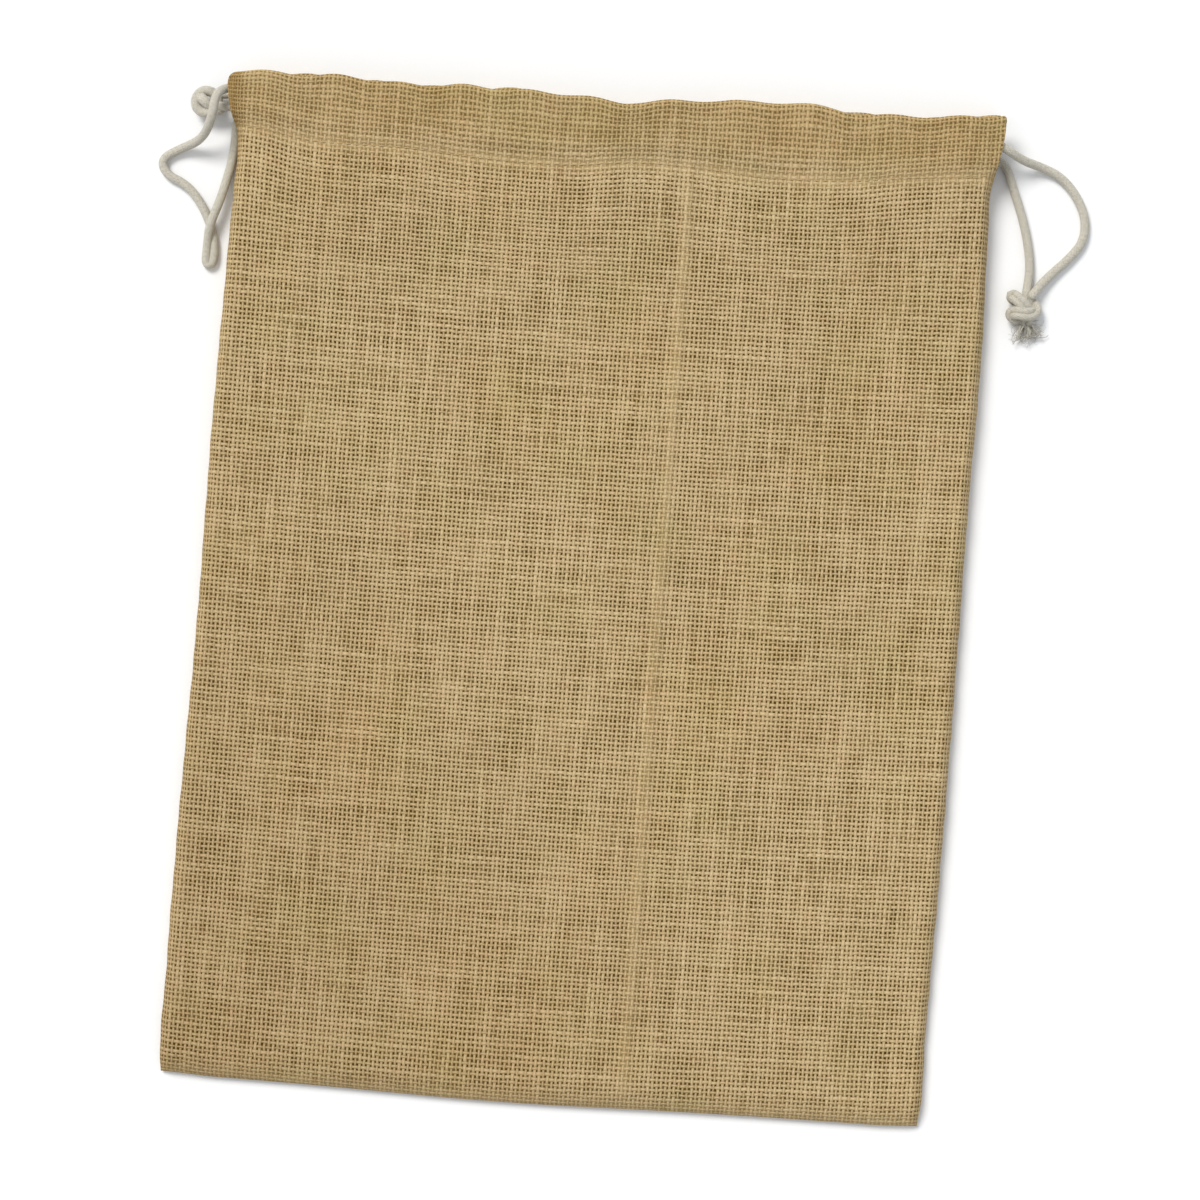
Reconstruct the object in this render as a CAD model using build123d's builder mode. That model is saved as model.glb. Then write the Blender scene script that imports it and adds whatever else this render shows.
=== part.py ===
"""Drawstring gift pouch of open jute cloth, lying flat on its back, in millimetres.

X runs across the bag, +Y towards the mouth and +Z away from the surface it lies on.
The origin is under the middle of the bag, on that surface.
"""

import math
import os

from build123d import *

os.makedirs("parts", exist_ok=True)

# the bag
bag_width = 300.0
bag_length = 400.0
mouth_width = 307.0
cloth = 1.0
corner_radius = 6.0

# the folded channel that the cords run in, along the mouth
cord_diameter = 3.5
channel_clear = 3.9
channel_depth = 24.0
channel_length = 287.0
pinch_run = 4.0
hem_tail = 6.0
mouth_gap = 4.4

# how far the front stands off the back, and how its edges slope down to the seams
crown_at_bottom = 8.0
side_slope = 10.0
bottom_slope = 12.0
wall_inset = 1.5

# seams and threads
allowance_width = 9.0
allowance_low = 1.4
ply = 0.9
ply_gap = 0.1
overlock_reach = 4.4
overlock_thread = 0.3
thread = 0.6
groove_depth = 0.45
groove_margin = 0.1

# heights and places that follow from them
half_width = bag_width / 2
half_length = bag_length / 2
half_mouth = mouth_width / 2
half_channel = channel_length / 2
fold_height = channel_clear + 2 * cloth
front_base = fold_height + mouth_gap
bag_height = front_base + fold_height
pinch_y = half_length - channel_depth
fold_centre_y = half_length - fold_height / 2
tail_y = pinch_y - hem_tail
stitch_y = pinch_y - 2.0
near_line = pinch_y + 6.0
far_line = pinch_y + 15.0
back_cord_z = fold_height / 2
front_cord_z = front_base + fold_height / 2
floor_z = cord_diameter / 2
seam_top_y = tail_y - 2.0
crown_at_mouth = front_base + 2 * cloth
crown_width = bag_width - 2 * side_slope
tail_reach = crown_width / 2 - cloth


def save(piece, name):
    """Label a finished piece and write it to its own STEP file."""
    piece.part.label = name
    export_step(piece.part, f"parts/{name}.step")


def block(x_range, y_range, z_range, mode=Mode.ADD):
    """A box between the two ends given along each axis."""
    ranges = (x_range, y_range, z_range)
    middle = tuple((low + high) / 2 for low, high in ranges)
    with Locations(middle):
        Box(*(high - low for low, high in ranges), mode=mode)


def fold_outline(base, inset):
    """The outline of the folded cloth across the channel, or its inside at an inset."""
    low = base + inset
    high = base + fold_height - inset
    lip_y = pinch_y + 1.2 * inset
    lip_top = low if inset else base + 2 * cloth
    slope_y = pinch_y + pinch_run - 0.3 * inset
    corners = [(fold_centre_y, high), (slope_y, high), (lip_y, lip_top)]
    if not inset:
        corners.append((lip_y, low))
    Polyline(*corners, (fold_centre_y, low))
    crest = (half_length - inset, (low + high) / 2)
    ThreePointArc((fold_centre_y, low), crest, (fold_centre_y, high))


def fold_section(base, place=Plane.YZ):
    """The section of the folded cloth, with the channel left open."""
    with BuildSketch(place) as section:
        with BuildLine():
            fold_outline(base, 0)
        make_face()
        with BuildLine():
            fold_outline(base, cloth)
        make_face(mode=Mode.SUBTRACT)
    return section.sketch


def outer_ply_section(base, ply_z, place):
    """The part of the folded cloth's section that is on the outside of the bag."""
    with BuildSketch(place) as section:
        add(fold_section(base, Plane.XY))
        with Locations(((pinch_y + half_length) / 2, ply_z)):
            Rectangle(channel_depth + 1, back_cord_z, mode=Mode.INTERSECT)
    return section.sketch


def cut_groove(z_range):
    """A groove that a tight row of stitches presses into the cloth below the channel."""
    y_range = (stitch_y - thread / 2 - groove_margin, stitch_y + thread / 2 + groove_margin)
    block((-tail_reach, tail_reach), y_range, z_range, Mode.SUBTRACT)


def stitch_row(low_z):
    """One thread of the channel's row of stitches, standing on low_z."""
    reach = tail_reach - groove_margin
    y_range = (stitch_y - thread / 2, stitch_y + thread / 2)
    block((-reach, reach), y_range, (low_z, low_z + thread * 0.6))


# back panel: a flat sheet, grooved underneath where the channel is stitched
with BuildPart() as back_panel:
    with BuildSketch():
        with Locations((0, (pinch_y - half_length) / 2)):
            Rectangle(bag_width, pinch_y + half_length)
        bottom_corners = vertices().group_by(Axis.Y)[0]
        fillet(bottom_corners, corner_radius)
    extrude(amount=cloth)
    cut_groove((0, groove_depth))
save(back_panel, "back_panel")

# front panel: a shallow crowned shell, open towards the mouth
crown_run = pinch_y + half_length - bottom_slope
crown_tilt = math.degrees(math.atan((crown_at_mouth - crown_at_bottom) / crown_run))
crown_centre_y = (bottom_slope + cloth) / 2
crown_bottom_y = bottom_slope - half_length
crown_rise = (crown_at_mouth - crown_at_bottom) / crown_run
crown_centre_z = crown_at_bottom + (crown_centre_y - crown_bottom_y) * crown_rise
crown_length = bag_length - bottom_slope + cloth
crown_inset = 0.6
with BuildPart() as front_panel:
    with BuildSketch(Plane.XY.offset(cloth)):
        with Locations((0, cloth / 2)):
            Rectangle(bag_width, bag_length + cloth)
    crown = Plane((0, crown_centre_y, crown_centre_z)).rotated((crown_tilt, 0, 0))
    with BuildSketch(crown):
        Rectangle(crown_width, crown_length)
    loft(ruled=True)
    with BuildSketch(Plane.XY.offset(cloth)):
        with Locations((0, cloth + wall_inset / 2)):
            Rectangle(bag_width - 2 * wall_inset, bag_length + 2 * cloth - wall_inset)
    with BuildSketch(crown.offset(-cloth)):
        with Locations((0, cloth)):
            Rectangle(crown_width - 2 * crown_inset, crown_length + cloth)
    loft(ruled=True, mode=Mode.SUBTRACT)
    beyond = half_length + 3 * cloth
    block((-bag_width, bag_width), (pinch_y, beyond), (-1, bag_height), Mode.SUBTRACT)
save(front_panel, "front_panel")

# back channel: its hem tail lies on the back panel
back_section = fold_section(0)
with BuildPart() as back_channel:
    extrude(back_section, amount=half_channel, both=True)
    block((-tail_reach, tail_reach), (tail_y, pinch_y), (cloth, 2 * cloth))
save(back_channel, "back_channel")

# front channel: its hem tail lies under the front panel, inside the bag
front_section = fold_section(front_base)
with BuildPart() as front_channel:
    extrude(front_section, amount=half_channel, both=True)
    block((-tail_reach, tail_reach), (tail_y, pinch_y), (front_base, front_base + 0.9 * cloth))
    cut_groove((front_base, front_base + groove_depth))
save(front_channel, "front_channel")

# threads of the two rows of stitches that close the channels
with BuildPart() as back_channel_stitching:
    stitch_row(0.05)
    stitch_row(2 * cloth)
save(back_channel_stitching, "back_channel_stitching")

with BuildPart() as front_channel_stitching:
    stitch_row(front_base + 0.05)
    stitch_row(crown_at_mouth)
save(front_channel_stitching, "front_channel_stitching")


def side_range(side, near, far):
    """The span along X from near to far of the middle, on the left (-1) or right (1)."""
    return (side * near, side * far) if side > 0 else (side * far, side * near)


def allowance_plies(x_range, y_range):
    """The two plies of a seam allowance, one over the other."""
    for number in range(2):
        low = allowance_low + number * (ply + ply_gap)
        block(x_range, y_range, (low, low + ply))


plies_top = allowance_low + 2 * ply + ply_gap
wrap_low = allowance_low - overlock_thread - 0.02
wrap_top = plies_top + overlock_thread + 0.02
allowance_outer = half_width - wall_inset - 3.6
allowance_inner = allowance_outer - allowance_width
bottom_outer = half_length - wall_inset - 5.0
bottom_inner = bottom_outer - allowance_width
seam_x = allowance_outer + 0.3 + thread / 2
seam_y = bottom_outer + 0.3 + thread / 2
side_low_y = -bottom_inner + 2.0

# what the two sides have alike: seams, turned-in channel ends and bar tacks
for side, side_name in ((-1, "left"), (1, "right")):
    with BuildPart() as seam_allowance:
        strip = side_range(side, allowance_inner, allowance_outer)
        allowance_plies(strip, (side_low_y, seam_top_y))
    save(seam_allowance, f"{side_name}_seam_allowance")

    with BuildPart() as seam_stitching:
        line = side_range(side, seam_x - thread / 2, seam_x + thread / 2)
        block(line, (side_low_y, seam_top_y), (cloth + 0.05, cloth + 0.05 + thread))
    save(seam_stitching, f"{side_name}_seam_stitching")

    with BuildPart() as overlock:
        raw_edge = allowance_inner - 0.02
        whole = side_range(side, raw_edge - overlock_thread, raw_edge + overlock_reach)
        inside = side_range(side, raw_edge, raw_edge + overlock_reach)
        block(whole, (side_low_y, seam_top_y), (wrap_low, wrap_top))
        hollow = (wrap_low + overlock_thread, wrap_top - overlock_thread)
        block(inside, (side_low_y, seam_top_y), hollow, Mode.SUBTRACT)
    save(overlock, f"{side_name}_overlock")

    # the outer ply of each channel runs on past the inner one and is turned in
    place = Plane.YZ.offset(side * half_channel)
    back_end = outer_ply_section(0, back_cord_z / 2, place)
    front_end = outer_ply_section(front_base, bag_height - back_cord_z / 2, place)
    with BuildPart() as channel_ends:
        for end in (back_end, front_end):
            extrude(end, amount=side * (half_mouth - half_channel))
        reach = side_range(side, half_mouth - 3.0, half_mouth - 2.0)
        span = (pinch_y + 5.0, half_length - 5.0)
        block(reach, span, (0, groove_depth), Mode.SUBTRACT)
        block(reach, span, (bag_height - groove_depth, bag_height), Mode.SUBTRACT)
    save(channel_ends, f"{side_name}_channel_ends")

    with BuildPart() as end_stitching:
        reach = side_range(side, half_mouth - 2.8, half_mouth - 2.2)
        span = (pinch_y + 5.2, half_length - 5.2)
        block(reach, span, (0.05, 0.4))
        block(reach, span, (bag_height - 0.4, bag_height - 0.05))
    save(end_stitching, f"{side_name}_channel_end_stitching")

    with BuildPart() as bar_tack:
        reach = side_range(side, half_channel + 0.3, half_channel + 3.0)
        block(reach, (seam_top_y + 0.5, seam_top_y + 2.5), (cloth + 0.05, 2 * cloth + 0.3))
    save(bar_tack, f"{side_name}_bar_tack")

# bottom seam, inside the bag
with BuildPart() as bottom_seam_allowance:
    across = (-allowance_inner, allowance_inner)
    allowance_plies(across, (-bottom_outer, -bottom_inner))
save(bottom_seam_allowance, "bottom_seam_allowance")

with BuildPart() as bottom_seam_stitching:
    line = (-seam_y - thread / 2, -seam_y + thread / 2)
    block(across, line, (cloth + 0.05, cloth + 0.05 + thread))
save(bottom_seam_stitching, "bottom_seam_stitching")

with BuildPart() as bottom_overlock:
    raw_edge = -bottom_inner + 0.02
    short = (-allowance_inner + 1, allowance_inner - 1)
    block(short, (raw_edge - overlock_reach, raw_edge + overlock_thread), (wrap_low, wrap_top))
    hollow = (wrap_low + overlock_thread, wrap_top - overlock_thread)
    block(across, (raw_edge - overlock_reach, raw_edge), hollow, Mode.SUBTRACT)
save(bottom_overlock, "bottom_overlock")


def corner_radii(points):
    """For each inner point, 0.45 of the shorter run over the tangent of half the turn."""
    spots = [Vector(*point) for point in points]
    radii = []
    for before, here, after in zip(spots, spots[1:], spots[2:]):
        arrive = here - before
        leave = after - here
        half_turn = math.radians(arrive.get_angle(leave)) / 2
        radii.append(0.45 * min(arrive.length, leave.length) / math.tan(half_turn))
    return radii


def cord_tube(name, points):
    """A cord of straight runs joined by tangent arcs, saved as its own piece."""
    radii = corner_radii(points)
    with BuildPart() as tube:
        with BuildLine() as path:
            FilletPolyline(*points, radius=radii)
        with BuildSketch(Plane(path.line @ 0, z_dir=path.line % 0)):
            Circle(cord_diameter / 2)
        sweep(path=path.line)
    save(tube, name)
    length = sum(edge.length for edge in path.line.edges())
    expected = math.pi * cord_diameter**2 / 4 * length
    shown = " ".join(f"{radius:.1f}" for radius in radii)
    print(f"{name}: {length:.1f} long, volume {tube.part.volume / expected:.4f}, radii {shown}")


# left drawcord: from its knot through the front channel, round inside the right end and back
exit_x = half_channel + 3.5
far_x = half_mouth - 2.7
left_drawcord_route = [
    (-160.0, 183.5, 8.0),
    (-exit_x, near_line, front_cord_z),
    (far_x, near_line, front_cord_z),
    (far_x, far_line, back_cord_z),
    (-exit_x, far_line, back_cord_z),
    (-160.0, 188.0, 4.5),
]
cord_tube("left_drawcord", left_drawcord_route)

with BuildPart() as left_knot:
    block((-168.6, -157.8), (178.6, 191.2), (0.3, 10.6))
    fillet(left_knot.edges(), 3.6)
save(left_knot, "left_knot")

# right drawcord: its two strands inside the channels
with BuildPart() as right_drawcord:
    for line_y, line_z in ((far_line, front_cord_z), (near_line, back_cord_z)):
        with BuildSketch(Plane.YZ.offset(-half_channel)):
            with Locations((line_y, line_z)):
                Circle(cord_diameter / 2)
        extrude(amount=channel_length)
save(right_drawcord, "right_drawcord")

# its slack bight, which leaves the front channel at the left, passes over the left
# knot, lies on the surface in a closed loop and goes back into the back channel
left_bight_route = [
    (-half_channel - 0.4, far_line, front_cord_z),
    (-157.4, 191.0, front_cord_z),
    (-159.4, 176.6, 13.8),
    (-164.5, 168.9, 7.0),
    (-171.5, 165.6, floor_z),
    (-177.6, 161.6, floor_z),
    (-176.6, 156.4, floor_z),
    (-168.6, 151.8, floor_z),
    (-162.0, 145.4, floor_z),
    (-157.0, 136.0, floor_z),
    (-154.6, 126.4, floor_z),
    (-155.2, 119.6, floor_z),
    (-160.6, 119.4, floor_z),
    (-161.4, 126.2, 2.6),
    (-159.4, 134.0, 6.0),
    (-155.2, 143.8, 6.0),
    (-153.0, 153.2, 3.0),
    (-152.8, 163.4, floor_z),
    (-155.0, 172.8, 2.1),
    (-156.0, 182.0, back_cord_z),
    (-half_channel - 0.4, near_line, back_cord_z),
]
cord_tube("left_loose_bight", left_bight_route)

# its two free strands at the right, down to their knot
right_outer_route = [
    (half_channel, far_line, front_cord_z),
    (156.0, far_line, front_cord_z),
    (165.4, 186.0, 6.4),
    (173.6, 183.3, floor_z),
    (181.4, 178.7, floor_z),
    (187.2, 170.9, floor_z),
    (189.8, 161.2, floor_z),
    (187.0, 151.6, floor_z),
    (179.8, 143.4, floor_z),
    (174.2, 136.8, 3.2),
    (170.0, 130.8, 6.2),
]
cord_tube("right_outer_strand", right_outer_route)

right_inner_route = [
    (half_channel, near_line, back_cord_z),
    (154.0, near_line, back_cord_z),
    (158.0, 178.4, floor_z),
    (161.4, 171.2, floor_z),
    (165.0, 161.4, floor_z),
    (167.4, 150.8, floor_z),
    (168.0, 140.6, floor_z),
    (165.6, 131.2, 3.0),
]
cord_tube("right_inner_strand", right_inner_route)

with BuildPart() as right_knot:
    block((160.9, 173.3), (119.8, 132.2), (0.3, 9.3))
    fillet(right_knot.edges(), 3.6)
save(right_knot, "right_knot")

with BuildPart() as right_frayed_ends:
    for tip in ((164.6, 112.6, 2.0), (175.4, 116.4, 2.0)):
        root = Vector(167.3, 122.6, 3.2)
        away = Vector(*tip) - root
        with BuildSketch(Plane(root + away * 0.35, z_dir=away)):
            Circle(cord_diameter / 2)
        extrude(amount=away.length * 0.65)
save(right_frayed_ends, "right_frayed_ends")
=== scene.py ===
"""A drawstring gift pouch of open jute cloth, lying flat with its cotton cords loose.

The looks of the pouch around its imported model: two panels with a cord channel along the mouth,
the seams inside, the stitches, two drawcords and their knots.
It is laid out as a Blender add-on with one operator for each group of like pieces.
"""

import math

import bpy
import numpy as np
from bpy.props import FloatProperty, FloatVectorProperty, PointerProperty
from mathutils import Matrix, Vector


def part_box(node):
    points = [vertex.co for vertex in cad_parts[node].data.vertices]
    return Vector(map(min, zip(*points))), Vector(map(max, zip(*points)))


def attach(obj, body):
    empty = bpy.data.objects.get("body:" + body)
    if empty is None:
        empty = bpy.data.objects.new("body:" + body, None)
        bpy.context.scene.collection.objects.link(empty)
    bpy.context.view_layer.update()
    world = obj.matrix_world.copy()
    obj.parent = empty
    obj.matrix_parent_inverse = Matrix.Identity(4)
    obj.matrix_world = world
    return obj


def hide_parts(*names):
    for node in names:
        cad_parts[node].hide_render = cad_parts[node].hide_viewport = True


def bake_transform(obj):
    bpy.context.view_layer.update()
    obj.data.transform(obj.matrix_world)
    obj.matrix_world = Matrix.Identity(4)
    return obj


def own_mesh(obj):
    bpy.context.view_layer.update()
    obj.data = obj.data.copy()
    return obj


bl_info = {
    "name": "Jute Gift Pouch",
    "version": (1, 0, 0),
    "blender": (4, 5, 0),
    "location": "View3D > Sidebar > Pouch",
    "description": "Builds a flat jute gift pouch with two cotton drawcords",
    "category": "Add Mesh",
}

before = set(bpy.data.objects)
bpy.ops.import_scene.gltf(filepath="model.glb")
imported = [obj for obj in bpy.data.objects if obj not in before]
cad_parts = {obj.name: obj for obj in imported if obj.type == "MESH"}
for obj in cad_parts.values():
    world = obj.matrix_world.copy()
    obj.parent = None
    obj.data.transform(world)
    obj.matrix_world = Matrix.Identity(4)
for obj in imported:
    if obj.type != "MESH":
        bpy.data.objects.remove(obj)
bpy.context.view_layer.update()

MM = 0.001
SIDES = {"left": -1.0, "right": 1.0}

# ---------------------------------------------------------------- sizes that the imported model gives
FRONT_LOW, FRONT_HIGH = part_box("front_panel")
FRONT_FOLD_LOW, FRONT_FOLD_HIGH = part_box("front_channel")
END_STITCH_LOW, END_STITCH_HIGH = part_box("right_channel_end_stitching")

BOTTOM_Y = FRONT_LOW.y
TOP_Y = FRONT_FOLD_HIGH.y
PINCH_Y = FRONT_HIGH.y
TAIL_Y = FRONT_FOLD_LOW.y
CHANNEL_X = FRONT_FOLD_HIGH.x
MOUTH_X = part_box("right_channel_ends")[1].x
FRONT_BASE = FRONT_FOLD_LOW.z
FRONT_TOP = FRONT_FOLD_HIGH.z
CROWN_Z = FRONT_HIGH.z
BACK_FOLD_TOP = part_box("back_channel")[1].z
STITCH_Y = sum(corner.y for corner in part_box("front_channel_stitching")) / 2
SEAM_TOP_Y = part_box("left_seam_stitching")[1].y

# ---------------------------------------------------------------- how the cloth lies
SEAM_Z = 1.6 * MM
CROWN_AT_BOTTOM = 8.0 * MM
BOTTOM_RUN = 12.0 * MM
CREASE_X = 31.0 * MM
CREST_PULL = 0.5 * MM
HEM_INSET = 3.6 * MM
BACK_STITCH_Z = 0.32 * MM
# How strongly the crosswise yarns bow towards the sides.
ROW_BOW = 0.12
# How far the mouth is rolled over at its sides: fully at the left, hardly at the right.
ROLLED = {"left": 1.0, "right": 0.2}

# ---------------------------------------------------------------- how finely the cloth is divided
PANEL_STEP = 1.7 * MM
MOUTH_STEP = 0.7 * MM
BACK_STEP = 2.5 * MM
SEAM_STEP = 2.2 * MM
CREST_POINTS = 15
ACROSS_POINTS = 92
ROLL_POINTS = 11

# ---------------------------------------------------------------- how the knots are made
BRAID_CARRIERS = 12
FRAYED_YARNS = 64
THICK_YARNS = 30

# Half width of the pouch as it lies, at heights along it: the neck is pulled in below the mouth.
LEFT_OUTLINE = [
    (-0.204, 0.1524), (-0.198, 0.1532), (-0.160, 0.1536), (-0.100, 0.1531), (-0.020, 0.1515), (0.060, 0.1512),
    (0.110, 0.1503), (0.150, 0.1495), (0.172, 0.1493), (0.180, 0.1512), (0.190, 0.1531),
    (0.197, 0.1530), (0.201, 0.1516),
]
RIGHT_OUTLINE = [
    (-0.204, 0.1483), (-0.198, 0.1491), (-0.160, 0.1496), (-0.100, 0.1506), (-0.030, 0.1511), (0.050, 0.1512),
    (0.105, 0.1520), (0.150, 0.1511), (0.170, 0.1508), (0.181, 0.1522), (0.190, 0.1534),
    (0.201, 0.1541),
]
# How far the fold of the mouth and the row of stitches lie off straight, across the pouch.
MOUTH_LINE = [
    (-0.154, -0.0030), (-0.140, -0.0021), (-0.070, -0.0024), (-0.040, -0.0015), (0.005, -0.0034),
    (0.030, -0.0013), (0.060, 0.0007), (0.085, -0.0002), (0.105, -0.0015), (0.125, -0.0007),
    (0.142, 0.0011), (0.156, 0.0024),
]
STITCH_LINE = [
    (-0.156, 0.0014), (-0.140, 0.0010), (-0.124, -0.0018), (-0.080, -0.0028), (-0.045, -0.0046),
    (-0.015, -0.0044), (0.012, -0.0016), (0.030, -0.0019), (0.060, -0.0038), (0.098, -0.0026),
    (0.116, -0.0002), (0.140, 0.0018), (0.156, 0.0022),
]
OUTLINES = {"left": LEFT_OUTLINE, "right": RIGHT_OUTLINE}

# ---------------------------------------------------------------- routes of the cords, in metres
LEFT_DRAWCORD_ROUTE = [
    (-0.1600, 0.1835, 0.0080), (-0.1470, 0.1820, 0.01325), (0.1508, 0.1820, 0.01325),
    (0.1508, 0.1910, 0.00295), (-0.1470, 0.1910, 0.00295), (-0.1600, 0.1880, 0.0045),
]
LEFT_BIGHT_ROUTE = [
    (-0.1439, 0.1905, 0.01325), (-0.1496, 0.1904, 0.0124),
    (-0.1544, 0.1900, 0.0126), (-0.1576, 0.1866, 0.0172),
    (-0.1582, 0.1776, 0.0172), (-0.1626, 0.1696, 0.0080),
    (-0.1715, 0.1662, 0.00175), (-0.1792, 0.1616, 0.00175),
    (-0.1770, 0.1556, 0.00175), (-0.1686, 0.1522, 0.00175), (-0.1628, 0.1462, 0.00175),
    (-0.1578, 0.1372, 0.00175), (-0.1556, 0.1300, 0.00175), (-0.1553, 0.1212, 0.00175),
    (-0.1587, 0.1206, 0.00175), (-0.1583, 0.1290, 0.00210), (-0.1577, 0.1362, 0.0052),
    (-0.1542, 0.1464, 0.0052), (-0.1522, 0.1560, 0.0026), (-0.1508, 0.1640, 0.00175),
    (-0.1502, 0.1730, 0.00175), (-0.1504, 0.1800, 0.00295), (-0.1439, 0.1822, 0.00295),
]
RIGHT_OUTER_ROUTE = [
    (0.1425, 0.1910, 0.01325), (0.1490, 0.1908, 0.01325), (0.1556, 0.1880, 0.0130), (0.1622, 0.1850, 0.0078),
    (0.1704, 0.1836, 0.0028), (0.1784, 0.1806, 0.00175), (0.1850, 0.1738, 0.00175),
    (0.1894, 0.1650, 0.00175), (0.1894, 0.1558, 0.00175), (0.1846, 0.1488, 0.00175),
    (0.1770, 0.1412, 0.00210), (0.1718, 0.1350, 0.0036), (0.1692, 0.1308, 0.0056),
]
RIGHT_INNER_ROUTE = [
    (0.1425, 0.1820, 0.00295), (0.1480, 0.1824, 0.00295), (0.1528, 0.1850, 0.00295), (0.1566, 0.1828, 0.0024),
    (0.1604, 0.1730, 0.00175), (0.1640, 0.1640, 0.00175), (0.1668, 0.1548, 0.00175),
    (0.1686, 0.1456, 0.00175), (0.1686, 0.1380, 0.00190), (0.1676, 0.1310, 0.0036),
]
RIGHT_CHANNEL_ROUTES = [
    [(-0.1435, 0.1910, 0.01325), (0.1450, 0.1910, 0.01325)],
    [(-0.1435, 0.1820, 0.00295), (0.1450, 0.1820, 0.00295)],
]
# The stopper knot, from its middle: one strand rolled over itself into a ball beside the channel.
LEFT_KNOT_MIDDLE = (-0.1624, 0.1849, 0.0)
LEFT_KNOT_ROUTE = [
    (0.0075, -0.0020, 0.0078), (0.0030, -0.0041, 0.0066), (-0.0008, -0.0045, 0.0054),
    (-0.0040, -0.0026, 0.0050), (-0.0044, 0.0016, 0.0052), (-0.0018, 0.0045, 0.0054),
    (0.0022, 0.0043, 0.0050), (0.0046, 0.0014, 0.0044), (0.0040, -0.0020, 0.0044),
    (0.0018, -0.0020, 0.0064), (-0.0004, 0.0000, 0.0076), (-0.0020, 0.0014, 0.0068),
    (-0.0034, 0.0022, 0.0040),
]
# The knot of the two right ends, from its middle: both strands go round together and out below.
RIGHT_KNOT_MIDDLE = (0.1669, 0.1269, 0.0)
RIGHT_KNOT_ROUTE = [
    (0.0014, 0.0056, 0.0046), (0.0018, 0.0018, 0.0030), (0.0010, -0.0024, 0.0026),
    (-0.0024, -0.0042, 0.0030), (-0.0050, -0.0022, 0.0044), (-0.0024, -0.0020, 0.0076),
    (0.0018, -0.0026, 0.0078), (0.0050, -0.0010, 0.0052), (0.0044, 0.0020, 0.0028),
    (0.0006, 0.0030, 0.0026), (-0.0036, 0.0036, 0.0028), (-0.0050, 0.0050, 0.0048),
    (-0.0034, 0.0040, 0.0068), (-0.0004, 0.0014, 0.0074), (0.0018, -0.0010, 0.0056),
    (0.0018, -0.0042, 0.0038), (0.0014, -0.0066, 0.0030),
]


class PouchClothSettings(bpy.types.PropertyGroup):
    """Sizes and colours of the jute cloth and its threads."""

    yarn_pitch: FloatProperty(
        name="Yarn pitch", description="Distance between the upright yarns",
        default=1.735 * MM, unit="LENGTH", precision=5)
    row_pitch: FloatProperty(
        name="Row pitch", description="Distance between the crosswise yarns",
        default=1.895 * MM, unit="LENGTH", precision=5)
    thickness: FloatProperty(
        name="Cloth thickness", description="Thickness of one ply of the cloth",
        default=0.9 * MM, unit="LENGTH", precision=5)
    thread: FloatProperty(
        name="Thread diameter", description="Diameter of the sewing thread",
        default=0.5 * MM, unit="LENGTH", precision=5)
    stitch: FloatProperty(
        name="Stitch length", description="Length of one stitch of the channel's seam",
        default=3.3 * MM, unit="LENGTH", precision=5)
    pucker: FloatProperty(
        name="Pucker height", description="How far the gathered channel stands up and out",
        default=0.9 * MM, unit="LENGTH", precision=5)
    # The straw colours give the yarns' own tones; through the weave's height they also carry painted
    # highlight on the yarns' crowns and painted shade along their edges.
    light_straw: FloatVectorProperty(
        name="Light straw", description="Colour of the palest yarns",
        default=(0.660, 0.510, 0.297), subtype="COLOR", min=0, max=1)
    mid_straw: FloatVectorProperty(
        name="Mid straw", description="Colour of most of the yarns",
        default=(0.485, 0.358, 0.181), subtype="COLOR", min=0, max=1)
    dark_straw: FloatVectorProperty(
        name="Dark straw", description="Colour of the darkest yarns",
        default=(0.280, 0.188, 0.073), subtype="COLOR", min=0, max=1)
    gap: FloatVectorProperty(
        name="Gap colour", description="Colour of the shade seen between the yarns",
        default=(0.066, 0.037, 0.004), subtype="COLOR", min=0, max=1)
    overlock: FloatVectorProperty(
        name="Overlock thread", description="Colour of the thread that binds the raw edges",
        default=(0.600, 0.500, 0.340), subtype="COLOR", min=0, max=1)


class PouchCordSettings(bpy.types.PropertyGroup):
    """Sizes and colours of the cotton drawcords."""

    diameter: FloatProperty(
        name="Cord diameter", description="Diameter of the braided cotton cord",
        default=3.5 * MM, unit="LENGTH", precision=5)
    braid_pitch: FloatProperty(
        name="Braid pitch", description="Length of cord that one crossing of the braid takes",
        default=1.1 * MM, unit="LENGTH", precision=5)
    # The cord's colour runs from the shaded cotton, painted shade between its yarns, to the light cotton,
    # painted highlight on its raised yarns, mixed with the cotton's own mottling.
    light: FloatVectorProperty(
        name="Light cotton", description="Colour of the cord's raised yarns",
        default=(0.620, 0.582, 0.490), subtype="COLOR", min=0, max=1)
    shade: FloatVectorProperty(
        name="Shaded cotton", description="Colour between the cord's yarns",
        default=(0.290, 0.268, 0.212), subtype="COLOR", min=0, max=1)


class PouchStudioSettings(bpy.types.PropertyGroup):
    """The camera, the lights and the floor."""

    lens: FloatProperty(
        name="Lens", description="Focal length of the camera in millimetres", default=100.0, min=20)
    view_width: FloatProperty(
        name="View width", description="Width of the view at the height of the cloth",
        default=0.4746, unit="LENGTH", precision=4)
    turn: FloatProperty(
        name="Camera turn", description="How far the camera is turned about its line of sight",
        default=math.radians(4.198), subtype="ANGLE")
    view_x: FloatProperty(
        name="View centre X", description="Where the camera looks, across the pouch",
        default=7.8 * MM, unit="LENGTH", precision=4)
    view_y: FloatProperty(
        name="View centre Y", description="Where the camera looks, along the pouch",
        default=-0.8 * MM, unit="LENGTH", precision=4)
    sun: FloatProperty(name="Key light", description="Strength of the key light", default=2.3, min=0)
    sky: FloatProperty(name="Fill light", description="Strength of the light all round", default=0.62, min=0)
    floor: FloatVectorProperty(
        name="Floor", description="Colour of the studio floor",
        default=(0.93, 0.93, 0.93), subtype="COLOR", min=0, max=1)


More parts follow.
